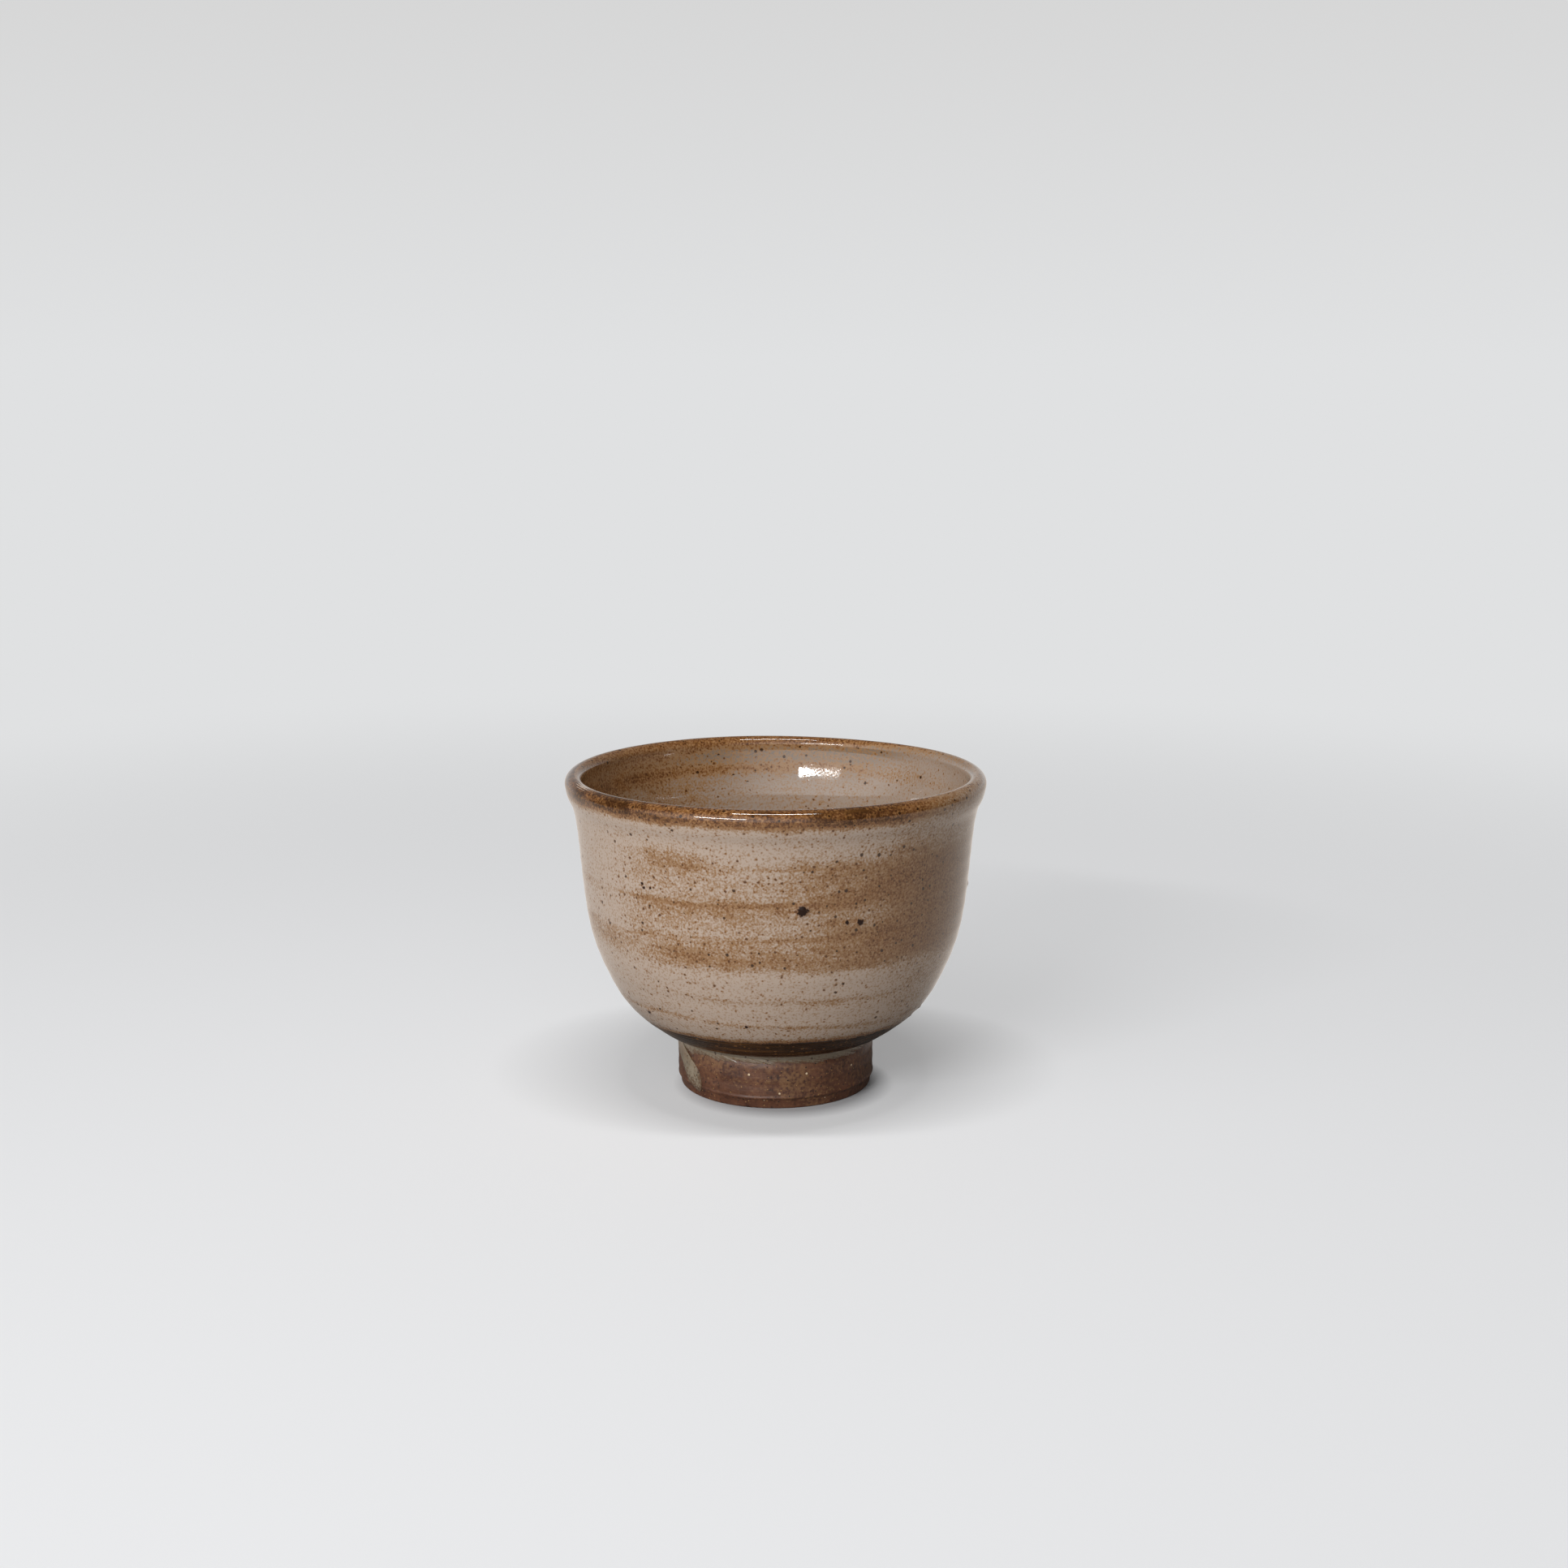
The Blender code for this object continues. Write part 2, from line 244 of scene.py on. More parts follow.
def red_stoneware():
    """Coarse iron-rich stoneware, turned and fired bare: a toasted dark red-brown with a faint sheen.

    The fire dusts it ochre in patches, iron freckles it black, tan sand shows all over it and a few
    cream grains stand out. Grains and freckles are drawn at their own size of 0.3 to 0.5 mm.
    """
    material = bpy.data.materials.new("red_stoneware_turned_and_fired_bare")
    material.use_nodes = True
    tree = material.node_tree
    shader = tree.nodes["Principled BSDF"]
    place = add(tree, "TexCoord", {}, "Object")

    blotch = add(tree, "TexNoise", {"Vector": place, "Scale": per_metre(4.5 * mm), "Detail": 4.0})
    patch = add(tree, "TexNoise", {"Vector": place, "Scale": per_metre(7 * mm), "Detail": 2.0})
    grit = add(tree, "TexNoise", {"Vector": place, "Scale": per_metre(0.7 * mm), "Detail": 3.0})
    drag_scale = (per_metre(24 * mm), per_metre(24 * mm), per_metre(0.45 * mm))
    level = add(tree, "Mapping", {"Vector": place, "Scale": drag_scale})
    drag = add(tree, "TexNoise", {"Vector": level, "Scale": 1.0, "Detail": 2.0})

    red = add(tree, "MapRange", {"Value": blotch, "From Min": 0.38, "From Max": 0.62})
    sockets = {"Factor": red, "A": linear("#523122"), "B": linear("#69432F")}
    colour = add(tree, "Mix", sockets, data_type="RGBA")

    # Ochre dust lies in patches and thicker up the side, and the pits between the grit are darker
    allowed = add(tree, "MapRange", {"Value": patch, "From Min": 0.46, "From Max": 0.70, "To Max": 0.16})
    rise = add(tree, "SeparateXYZ", {"Vector": place}, "Z")
    higher = add(tree, "MapRange", {"Value": rise, "From Min": 3 * mm, "From Max": 7 * mm, "To Max": 0.07})
    settled = add(tree, "Math", {0: allowed, 1: higher}, operation="ADD")
    dusted = add(tree, "Math", {0: grit, 1: settled}, operation="ADD")
    dust = add(tree, "MapRange", {"Value": dusted, "From Min": 0.58, "From Max": 0.80, "To Max": 0.6})
    colour = add(tree, "Mix", {"Factor": dust, "A": colour, "B": linear("#8C6845")}, data_type="RGBA")
    pits = {"Value": grit, "From Min": 0.30, "From Max": 0.44, "To Min": 0.85, "To Max": 0.0}
    darker_in_pits = add(tree, "MapRange", pits)
    colour = add(tree, "Mix", {"Factor": darker_in_pits, "A": colour, "B": linear("#352219")}, data_type="RGBA")

    # Grains, one to a cell: how far apart, how large, the share of cells that holds one, and its colour
    raised = grit
    for spacing, radius, share, shade in (
        (0.9 * mm, 0.15 * mm, 0.72, "#A27A4B"),
        (1.1 * mm, 0.19 * mm, 0.58, "#241813"),
        (3.0 * mm, 0.26 * mm, 0.36, "#E3CBA8"),
    ):
        near = add(tree, "TexVoronoi", {"Vector": place, "Scale": per_metre(spacing)})
        own = add(tree, "SeparateColor", {"Color": near.node.outputs["Color"]})
        held = add(tree, "Math", {0: own, 1: share}, operation="LESS_THAN")
        core, edge = 0.7 * radius / spacing, radius / spacing
        inside = {"Value": near, "From Min": core, "From Max": edge, "To Min": 1.0, "To Max": 0.0}
        grain = add(tree, "Math", {0: add(tree, "MapRange", inside), 1: held}, operation="MULTIPLY")
        colour = add(tree, "Mix", {"Factor": grain, "A": colour, "B": linear(shade)}, data_type="RGBA")
        raised = add(tree, "Math", {0: raised, 1: grain}, operation="ADD")
    tree.links.new(colour, shader.inputs["Base Color"])

    dryness = {"Value": patch, "From Min": 0.3, "From Max": 0.7, "To Min": 0.38, "To Max": 0.58}
    tree.links.new(add(tree, "MapRange", dryness), shader.inputs["Roughness"])
    shader.inputs["IOR"].default_value = 1.5
    lines = add(tree, "Math", {0: drag, 1: 0.7, 2: raised}, operation="MULTIPLY_ADD")
    relief = add(tree, "Bump", {"Height": lines, "Strength": 1.0, "Distance": 0.06 * mm})
    tree.links.new(relief, shader.inputs["Normal"])
    return material


stoneware = red_stoneware()
bowl.data.materials.append(stoneware)
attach(bowl, "root")
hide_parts("clay_bowl")

# Turned foot: a ring of the same bare stoneware that carries the bowl, cut with a turning tool that left
# a chamfer at its base, a burred ridge above that, and shallow level grooves up its side.
NECK_LENGTH = 4.0 * mm
CHAMFER_HEIGHT = 2.3 * mm
CHAMFER_DEPTH = 0.6 * mm
RIDGE_ROUND = 0.3 * mm
RIDGE_BURR = 0.20 * mm
FOOT_EDGE_ROUND = 0.4 * mm
RING_WIDTH = 4.8 * mm
RECESS_TAPER = 1.2 * mm
GROOVE_DEPTH = 0.06 * mm
GROOVE_PITCH = 2.7 * mm


def eased(value, low, high):
    """A smooth step from 0 at low to 1 at high."""
    t = np.clip((value - low) / (high - low), 0, 1)
    return t * t * (3 - 2 * t)


def hand(azimuth, waves):
    """The unevenness of hand work round the cup: a sum of waves, each a count, a phase and a size."""
    return sum(size * np.sin(count * azimuth + phase) for count, phase, size in waves)


chamfer_radius = FOOT_RADIUS - CHAMFER_DEPTH
recess_radius = chamfer_radius - RING_WIDTH
neck_radius = FOOT_RADIUS - COAT
seat = offset(base, -FIRING_GAP)
seat_radii = np.linspace(recess_radius - RECESS_TAPER, neck_radius, 24)
foot_top = np.column_stack((seat_radii, np.interp(seat_radii, seat[:, 0], seat[:, 1])))
ridge = np.array((FOOT_RADIUS, CHAMFER_HEIGHT))
ridge_foot = ridge - (0.20 * CHAMFER_DEPTH, RIDGE_ROUND)
outer_edge = np.array((chamfer_radius - FOOT_EDGE_ROUND, FOOT_EDGE_ROUND))
inner_edge = np.array((recess_radius + FOOT_EDGE_ROUND, FOOT_EDGE_ROUND))
foot_side = joined(
    curve(foot_top[-1], -pi / 2, np.array((FOOT_RADIUS, FOOT_HEIGHT - NECK_LENGTH)), -pi / 2, (0.4, 0.4)),
    np.linspace((FOOT_RADIUS, FOOT_HEIGHT - NECK_LENGTH), ridge + (0, RIDGE_ROUND), 60),
    curve(ridge + (0, RIDGE_ROUND), -pi / 2, ridge_foot, -pi / 2 - 0.5, (0.5, 0.3), 20),
    curve(ridge_foot, -pi / 2 - 0.35, outer_edge + (FOOT_EDGE_ROUND, 0), -pi / 2, (0.3, 0.3), 40),
)
foot_outline = joined(
    foot_side,
    arc(outer_edge, FOOT_EDGE_ROUND, 0.0, -pi / 2, 12),
    arc(inner_edge, FOOT_EDGE_ROUND, -pi / 2, -pi, 12),
    np.linspace(inner_edge - (FOOT_EDGE_ROUND, 0), foot_top[0], 30),
    foot_top,
)
foot_azimuth = azimuths(384)
foot_points, foot_normals = along(foot_outline, np.linspace(0, run_of(foot_outline)[-1], 210)[:-1])
up = foot_points[:, 1:]
on_side = (foot_points[:, :1] > 0.9 * FOOT_RADIUS) * eased(up, 0.6 * mm, 1.6 * mm)
on_side = on_side * eased(FOOT_HEIGHT - up, 0.2 * mm, 2.0 * mm)
grooves = np.sin(2 * pi * up / GROOVE_PITCH + foot_azimuth) - 1
uneven = hand(foot_azimuth, ((3, 0.7, 1.0), (5, 2.1, 0.6))) - 1.6
burr_line = CHAMFER_HEIGHT + hand(foot_azimuth, ((2, 0.4, 0.12 * mm), (7, 1.0, 0.06 * mm)))
burr_size = RIDGE_BURR * (0.6 + hand(foot_azimuth, ((1, 0.9, 0.3), (6, 2.4, 0.2), (17, 0.3, 0.1))))
burr = burr_size * np.exp(-(((up - burr_line) / (0.30 * mm)) ** 2))
tooling = on_side * (GROOVE_DEPTH / 2 * (grooves + uneven) + burr)
foot_radius = foot_points[:, :1] + tooling * foot_normals[:, :1]
foot_height = foot_points[:, 1:] + tooling * foot_normals[:, 1:]
foot = turned("turned_foot", foot_radius, foot_height, ring=True)
foot.data.materials.append(stoneware)
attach(foot, "root")
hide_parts("foot_ring")

# Liner: the coat of ash glaze poured into the bowl, from the middle of its floor up to the lip. It lies
# thick and grey, darkened as painted shade most just under the lip, with an ochre ring where it drew
# thin under the lip. All the glaze follows one outline.
LIP_BAND_INSIDE = 3.0 * mm
LIP_BAND_OUTSIDE = 4.3 * mm
LIP_BROWN_WIDTH = 4.9 * mm
OCHRE_RING_HEIGHT = 58.2 * mm
OCHRE_RING_WIDTH = 1.3 * mm
BACK_LEFT = radians(-142)
FAR_LEFT = radians(-95)
STREAK_LIMIT = 0.68
INSIDE_LIMIT = 0.8
UNDERSIDE_SHOWN = 1.08
RING_RISE = 3.6 * mm
RING_HEIGHT = 0.015 * mm
FLOOR_SPIRAL_PITCH = 5.5 * mm
FLOOR_SPIRAL_HEIGHT = 0.10 * mm
UNDERSIDE_EDGE = 16.5 * mm
TOOL_LINE_PITCH = 1.2 * mm
TOOL_LINE_HEIGHT = 0.05 * mm

# Iron spots that burst through the glaze, as azimuth, height and radius
IRON_SPOTS = (
    (radians(7.5), 45.2 * mm, 1.15 * mm),
    (radians(24.2), 42.3 * mm, 0.72 * mm),
    (radians(20.3), 42.4 * mm, 0.42 * mm),
    (radians(-9.6), 21.0 * mm, 0.50 * mm),
    (radians(-49.8), 20.5 * mm, 0.65 * mm),
    (radians(-39.5), 48.5 * mm, 0.34 * mm),
    (radians(-39.0), 47.7 * mm, 0.34 * mm),
    (radians(-36.6), 47.9 * mm, 0.30 * mm),
    (radians(84.0), 42.1 * mm, 0.55 * mm),
    (radians(68.5), 18.6 * mm, 0.50 * mm),
    (radians(64.5), 17.2 * mm, 0.45 * mm),
    (radians(138.0), 38.0 * mm, 0.70 * mm),
    (radians(-128.0), 47.0 * mm, 0.60 * mm),
    (radians(-165.0), 28.0 * mm, 0.50 * mm),
)
SPOT_LIFT = 0.40 * mm

# Streaks where the glaze was wiped thin on the wheel: azimuths from and to in degrees, heights from and
# to in millimetres, half widths below and above that line, and how much iron shows
STREAKS = (
    (-41, -20, 54.2, 53.8, 2.2, 2.0, 0.43),
    (-30, 26, 53.2, 52.9, 0.8, 0.7, 0.26),
    (-46, 12, 49.6, 49.6, 3.0, 2.6, 0.22),
    (-52, 8, 45.4, 46.6, 0.40, 0.45, 0.30),
    (-44, 24, 45.2, 45.8, 1.6, 1.9, 0.38),
    (-48, 22, 42.0, 42.2, 2.4, 2.4, 0.19),
    (-54, 30, 38.0, 40.0, 0.40, 0.40, 0.26),
    (-44, 70, 36.6, 36.6, 2.7, 3.2, 0.40),
    (-38, 66, 34.2, 33.6, 1.1, 1.6, 0.26),
    (8, 36, 33.0, 33.0, 0.9, 1.1, 0.26),
    (8, 76, 51.0, 49.6, 4.4, 4.4, 0.46),
    (14, 72, 45.7, 49.4, 0.7, 2.0, 0.28),
    (14, 76, 40.6, 40.0, 3.4, 4.2, 0.40),
    # The next two rows, broad over the right side, are ochre that also paints that side's warm shade
    (32, 104, 48.0, 46.0, 14.0, 13.0, 0.42),
    (44, 110, 26.0, 26.0, 8.0, 9.0, 0.20),
    (-32, 38, 27.2, 25.8, 0.45, 0.45, 0.24),
    (12, 25, 25.6, 25.3, 0.8, 1.0, 0.22),
    (-54, 44, 21.6, 19.8, 0.50, 0.45, 0.30),
    (60, 150, 46.8, 44.4, 0.6, 1.1, 0.30),
    (72, 196, 35.0, 36.6, 1.4, 2.8, 0.40),
    (74, 200, 41.8, 42.6, 3.4, 3.4, 0.18),
    (150, 300, 47.6, 45.2, 0.9, 0.7, 0.36),
    (140, 262, 50.6, 52.4, 2.6, 2.6, 0.32),
    (98, 226, 26.0, 27.4, 0.45, 0.45, 0.28),
    (52, 306, 19.8, 21.7, 0.45, 0.45, 0.30),
    (186, 312, 37.4, 35.6, 2.6, 2.2, 0.38),
    (206, 298, 40.2, 37.6, 0.35, 0.35, 0.28),
)

clay_face = joined(inner_side, outer_side[::-1])
glaze_face = offset(clay_face, COAT)
glaze_run = run_of(glaze_face)
inside_face, inside_run = glaze_face[: len(inner_side)], glaze_run[: len(inner_side)]
outside_face, outside_run = glaze_face[len(inner_side) :], glaze_run[len(inner_side) :]
crest = inside_run[-1]
inner_seam = np.interp(RIM_HEIGHT - LIP_BAND_INSIDE, inside_face[:, 1], inside_run)
outer_seam = np.interp(LIP_BAND_OUTSIDE - RIM_HEIGHT, -outside_face[:, 1], outside_run)


def turn_from(azimuth, middle):
    """The shorter way round from a middle azimuth."""
    return (azimuth - middle + pi) % (2 * pi) - pi


def streak(azimuth, height, start, end, start_height, end_height, below, above):
    """A level streak: a bell across its sloping, hand-wavy line, feathered over 20 degrees at both ends."""
    middle, half = radians(start + end) / 2, radians(end - start) / 2
    away = turn_from(azimuth, middle)
    line = start_height + (end_height - start_height) * (away / half + 1) / 2
    line = line + hand(azimuth, ((3, start, 0.30), (7, end, 0.16), (19, start + end, 0.07)))
    ends = eased(half + radians(10) - np.abs(away), 0, radians(20))
    off = height / mm - line
    return ends * np.exp(-((off / np.where(off < 0, below, above)) ** 2))


def iron_shown(azimuth, run, height):
    """How thin the glaze lies over the iron-red clay: 0 where it is thick, 1 where it has all run off.

    Outside it is the largest of the lip's band, the underside's dark band and the sum of the streaks up to
    a limit. The lip's band deepens to both sides as painted shade and pales at the far right as a painted
    reflection. Inside it is the lip's band, broad at the back left and drawn down the far left as iron and
    painted shade, and the ochre ring under it adds to that.
    """
    outside = run > crest
    past = np.abs(run - crest)
    ragged = hand(azimuth, ((4, 0.4, 0.12 * mm), (11, 2.0, 0.10 * mm), (23, 1.1, 0.12 * mm)))
    side = np.sin(azimuth)
    # The lip's brown deepens to both sides as painted shade and pales at the far right as a painted
    # reflection
    lip_brown_and_painted_light = 0.88 + 0.07 * eased(-side, 0.25, 0.75) + 0.06 * eased(side, 0.1, 0.4)
    lip_brown_and_painted_light = lip_brown_and_painted_light - 0.46 * eased(side, 0.52, 0.82)
    outer_lip = lip_brown_and_painted_light * eased(LIP_BROWN_WIDTH + ragged - past, -1.1 * mm, 1.0 * mm)
    back_left = eased(np.cos(azimuth - BACK_LEFT), -0.1, 0.8)
    far_left_iron_and_shade = eased(np.cos(azimuth - FAR_LEFT), 0.2, 0.95)
    inner_lip = 0.66 * eased(0.9 * mm + 1.8 * mm * back_left + ragged - past, -1.8 * mm, 1.4 * mm)
    upper = eased(30 * mm - past, 0, 18 * mm)
    # Down the far left the inside wall, turned from the light, is browned as iron and as painted shade
    inner_lip = inner_lip * (1 - 0.5 * far_left_iron_and_shade) + 0.38 * far_left_iron_and_shade * upper * eased(past, 1.5 * mm, 4.0 * mm)
    to_right = eased(side, 0.5, 0.95)
    near_crest = 0.26 * np.exp(-((past / (5 * mm)) ** 2))
    inner_lip = inner_lip * (1 - 0.4 * to_right) + near_crest * (1 - 0.8 * to_right)
    edge = UNDERSIDE_EDGE + hand(azimuth, ((2, 1.3, 0.42 * mm), (9, 0.2, 0.12 * mm), (31, 1.7, 0.10 * mm)))
    underside = UNDERSIDE_SHOWN * eased(edge - height, -1.2 * mm, 0.9 * mm)
    ring = np.exp(-(((height - OCHRE_RING_HEIGHT) / OCHRE_RING_WIDTH) ** 2))
    inner_ring = (0.16 + 0.24 * back_left) * ring + 0.10 * back_left * upper
    streaks = sum(row[6] * streak(azimuth, height, *row[:6]) for row in STREAKS)
    outer = np.maximum(np.maximum(outer_lip, underside), np.minimum(streaks, STREAK_LIMIT))
    return np.where(outside, outer, np.minimum(inner_lip + inner_ring, INSIDE_LIMIT))


def glaze_lift(azimuth, run, height):
    """How far the fired surface stands off its outline.

    Throwing rings climb the outside and wind out over the floor inside, tool lines ring the underside,
    the lip is a little uneven, and a bell stands over each iron spot.
    """
    outside = run > crest
    rings = RING_HEIGHT * np.sin(2 * pi * run / RING_RISE + azimuth) * eased(run - crest, 5 * mm, 14 * mm)
    winding = np.sin(2 * pi * run / FLOOR_SPIRAL_PITCH - azimuth)
    floor_spiral = FLOOR_SPIRAL_HEIGHT * winding * eased(26 * mm - run, 0, 10 * mm)
    lines = np.sin(2 * pi * run / TOOL_LINE_PITCH + hand(azimuth, ((1, 0.5, 1.2), (5, 2.0, 0.8))))
    tool_lines = outside * TOOL_LINE_HEIGHT * lines * eased(UNDERSIDE_EDGE - height, -1.0 * mm, 0.5 * mm)
    near_lip = np.exp(-(((run - crest) / (9 * mm)) ** 2))
    uneven = hand(azimuth, ((2, 0.6, 0.10 * mm), (3, 2.2, 0.07 * mm), (5, 4.0, 0.04 * mm))) - 0.21 * mm
    spots = 0
    for spot_azimuth, spot_height, spot_radius in IRON_SPOTS:
        spot_out = np.interp(spot_height, outer_side[:, 1], outer_side[:, 0])
        away = np.hypot(turn_from(azimuth, spot_azimuth) * spot_out, height - spot_height)
        spots = spots + SPOT_LIFT * spot_radius / mm * np.exp(-((away / spot_radius) ** 2))
    return rings + floor_spiral + tool_lines + near_lip * uneven + outside * spots


def coat(name, start, end, rows, columns, ring):
    """One coat of the glaze, between two distances along the outline that all the glaze follows.

    Its face is lifted by glaze_lift, its back lies level under it at the glaze's thickness, and a close
    row at each end keeps the shading true up to the seam. Its points hold two measures for the material:
    the iron shown, and the lining, which is 0 outside, 1 just inside the lip and 2 deeper in. Inside, the
    lining darkens the glaze as painted shade, most just inside the lip. It reaches 2, the lighter painted
    shade, sooner on the right, where light falls on the inner wall.
    """
    azimuth = azimuths(columns)
    close = 0.02 * mm
    face_run = np.concatenate(([start], np.linspace(start + close, end - close, rows), [end]))
    face, normals = along(glaze_face, face_run)
    face[face_run == 0, 0] = 0
    lift = glaze_lift(azimuth, face_run[:, None], face[:, 1:])
    if not ring:
        lift = lift * eased(face[:, :1], 0, 6 * mm)
    back = (face - GLAZE_THICKNESS * normals)[:: -max(1, rows // 16)]
    back[back[:, 0] < close, 0] = 0
    around = 0 * azimuth
    radius = np.vstack((face[:, :1] + lift * normals[:, :1], back[:, :1] + around))
    height = np.vstack((face[:, 1:] + lift * normals[:, 1:], back[:, 1:] + around))
    iron = iron_shown(azimuth, face_run[:, None], face[:, 1:] + around)
    # Painted shade inside the cup: the lining is 1 just inside the lip, 2 deeper in, and 2 sooner on the
    # right, where light falls
    depth = (crest - face_run)[:, None]
    over_lip = eased(depth, -1.5 * mm, 2.5 * mm)
    sooner = 9 * mm * eased(np.sin(azimuth), 0.4, 0.9)
    lining_and_painted_shade = (over_lip + eased(depth + sooner, 4 * mm, 13 * mm)) * over_lip
    unseen = np.zeros((len(back), columns))
    measures = {"iron": np.vstack((iron, unseen)), "lining_and_painted_shade": np.vstack((lining_and_painted_shade, unseen))}
    return turned(name, radius, height, ring, **measures)


def ash_glaze():
    """Ash glaze over iron-red stoneware, dipped and fired in reduction: glassy and grey-beige.

    Where it lies thin the iron of the clay burns through, first as ochre dust, then as brown, and at the
    underside nearly black. Grains of iron melt through it as brown specks and a few larger spots.
    """
    material = bpy.data.materials.new("ash_glaze_over_iron_stoneware")
    material.use_nodes = True
    tree = material.node_tree
    shader = tree.nodes["Principled BSDF"]
    place = add(tree, "TexCoord", {}, "Object")
    shown = add(tree, "Attribute", {}, "Fac", attribute_name="iron")
    lining_and_painted_shade = add(tree, "Attribute", {}, "Fac", attribute_name="lining_and_painted_shade")

    # Wiping on the wheel drew the thin places out level, and clouds break them up
    level_scale = (per_metre(12 * mm), per_metre(12 * mm), per_metre(0.9 * mm))
    level = add(tree, "Mapping", {"Vector": place, "Scale": level_scale})
    wiped = add(tree, "TexNoise", {"Vector": level, "Scale": 1.0, "Detail": 3.0})
    cloud = add(tree, "TexNoise", {"Vector": place, "Scale": per_metre(3.4 * mm), "Detail": 3.0})
    drift = add(tree, "Math", {0: wiped, 1: 0.9, 2: cloud}, operation="MULTIPLY_ADD")
    swing = {"Value": drift, "From Min": 0.65, "From Max": 1.25, "To Min": -0.5, "To Max": 0.5}
    loose = add(tree, "MapRange", {"Value": shown, "From Max": 0.4, "To Min": 0.12, "To Max": 0.40})
    calmer = {"Value": shown, "From Min": 0.45, "From Max": 0.65, "To Min": 1.0, "To Max": 0.4}
    steady = add(tree, "MapRange", calmer)
    play = add(tree, "Math", {0: loose, 1: steady}, operation="MULTIPLY")
    haze = add(tree, "Math", {0: add(tree, "MapRange", swing), 1: play, 2: shown}, operation="MULTIPLY_ADD")

    # Grains of iron stipple the thin places: fine ones of 0.2 mm and clumps of 0.35 mm, calmer on the lip
    fine = add(tree, "TexNoise", {"Vector": place, "Scale": per_metre(0.42 * mm), "Detail": 1.0})
    clump = add(tree, "TexNoise", {"Vector": place, "Scale": per_metre(0.68 * mm), "Detail": 1.0})
    finely = {"Value": fine, "From Min": 0.2, "From Max": 0.8, "To Min": -0.42, "To Max": 0.42}
    stippled = add(tree, "Math", {0: add(tree, "MapRange", finely), 1: haze}, operation="ADD")
    coarsely = {"Value": clump, "From Min": 0.2, "From Max": 0.8, "To Min": -0.34, "To Max": 0.34}
    clumps = {0: add(tree, "MapRange", coarsely), 1: steady, 2: stippled}
    clumped = add(tree, "Math", clumps, operation="MULTIPLY_ADD")

    # Thick glaze is palest outside. Inside it is darkened as painted shade, most just inside the lip and
    # less, between the two, deeper in. Over it ochre comes first, then brown, then the deep brown of the
    # lip, which on the lip's sides is partly painted shade.
    sockets = {"Factor": lining_and_painted_shade, "A": linear("#BCA99A"), "B": linear("#7D7064")}
    colour = add(tree, "Mix", sockets, data_type="RGBA")
    deeper = add(tree, "Math", {0: lining_and_painted_shade, 1: 1.0}, operation="SUBTRACT")
    colour = add(tree, "Mix", {"Factor": deeper, "A": colour, "B": linear("#A19082")}, data_type="RGBA")
    for level_of, shade, low, high in (
        (stippled, "#9B7855", 0.0, 0.44),
        (clumped, "#7D522E", 0.46, 0.82),
        (clumped, "#4C2D18", 0.80, 1.10),
    ):
        share = add(tree, "MapRange", {"Value": level_of, "From Min": low, "From Max": high})
        colour = add(tree, "Mix", {"Factor": share, "A": colour, "B": linear(shade)}, data_type="RGBA")

    # Gold grains in the brown of the lip, partly iron and partly painted glints
    lip_only = add(tree, "MapRange", {"Value": shown, "From Min": 0.4, "From Max": 0.6, "To Max": 0.32})
    glints = {"Value": fine, "From Min": 0.30, "From Max": 0.42, "To Min": 1.0, "To Max": 0.0}
    painted_glint_grains = add(tree, "MapRange", glints)
    gold_grains_and_painted_glints = add(tree, "Math", {0: painted_glint_grains, 1: lip_only}, operation="MULTIPLY")
    colour = add(tree, "Mix", {"Factor": gold_grains_and_painted_glints, "A": colour, "B": linear("#A97A42")}, data_type="RGBA")

    # The underside, where the glaze was wiped off in level strokes down to a dark skin
    bare = add(tree, "MapRange", {"Value": haze, "From Min": 0.88, "From Max": 1.04})
    stroke = add(tree, "MapRange", {"Value": wiped, "From Min": 0.52, "From Max": 0.72})
    sockets = {"Factor": stroke, "A": linear("#2D1A0A"), "B": linear("#5E3E1E")}
    skin = add(tree, "Mix", sockets, data_type="RGBA")
    colour = add(tree, "Mix", {"Factor": bare, "A": colour, "B": skin}, data_type="RGBA")

    # Iron specks, one to a cell: how far apart, the smallest and largest radius, the share of cells that
    # holds one where the glaze is thick and where it is thin, and their colour. Each has an ochre halo,
    # and fewer of them come up inside the cup and on the underside.
    inward = add(tree, "MapRange", {"Value": lining_and_painted_shade, "From Max": 2.0, "To Min": 1.0, "To Max": 0.4})
    covered = add(tree, "MapRange", {"Value": bare, "To Min": 1.0, "To Max": 0.15})
    fewer = add(tree, "Math", {0: inward, 1: covered}, operation="MULTIPLY")
    raised = clump
    for spacing, smallest, largest, sparse, dense, shade in (
        (0.85 * mm, 0.00 * mm, 0.10 * mm, 0.42, 0.95, "#7A5029"),
        (1.15 * mm, 0.02 * mm, 0.20 * mm, 0.12, 0.80, "#553117"),
        (1.6 * mm, 0.06 * mm, 0.28 * mm, 0.11, 0.65, "#2E190C"),
    ):
        near = add(tree, "TexVoronoi", {"Vector": place, "Scale": per_metre(spacing)})
        own = add(tree, "SeparateColor", {"Color": near.node.outputs["Color"]})
        shares = {"Value": haze, "From Max": 0.5, "To Min": sparse, "To Max": dense}
        chance = add(tree, "Math", {0: add(tree, "MapRange", shares), 1: fewer}, operation="MULTIPLY")
        held = add(tree, "Math", {0: own, 1: chance}, operation="LESS_THAN")
        sizes = {"Value": own.node.outputs[1], "To Min": smallest / spacing, "To Max": largest / spacing}
        within = add(tree, "Math", {0: add(tree, "MapRange", sizes), 1: near}, operation="SUBTRACT")
        depth = add(tree, "Math", {0: fine, 1: 0.26 * mm / spacing, 2: within}, operation="MULTIPLY_ADD")
        around = {"Value": depth, "From Min": -0.16 * mm / spacing, "From Max": 0.0, "To Max": 0.5}
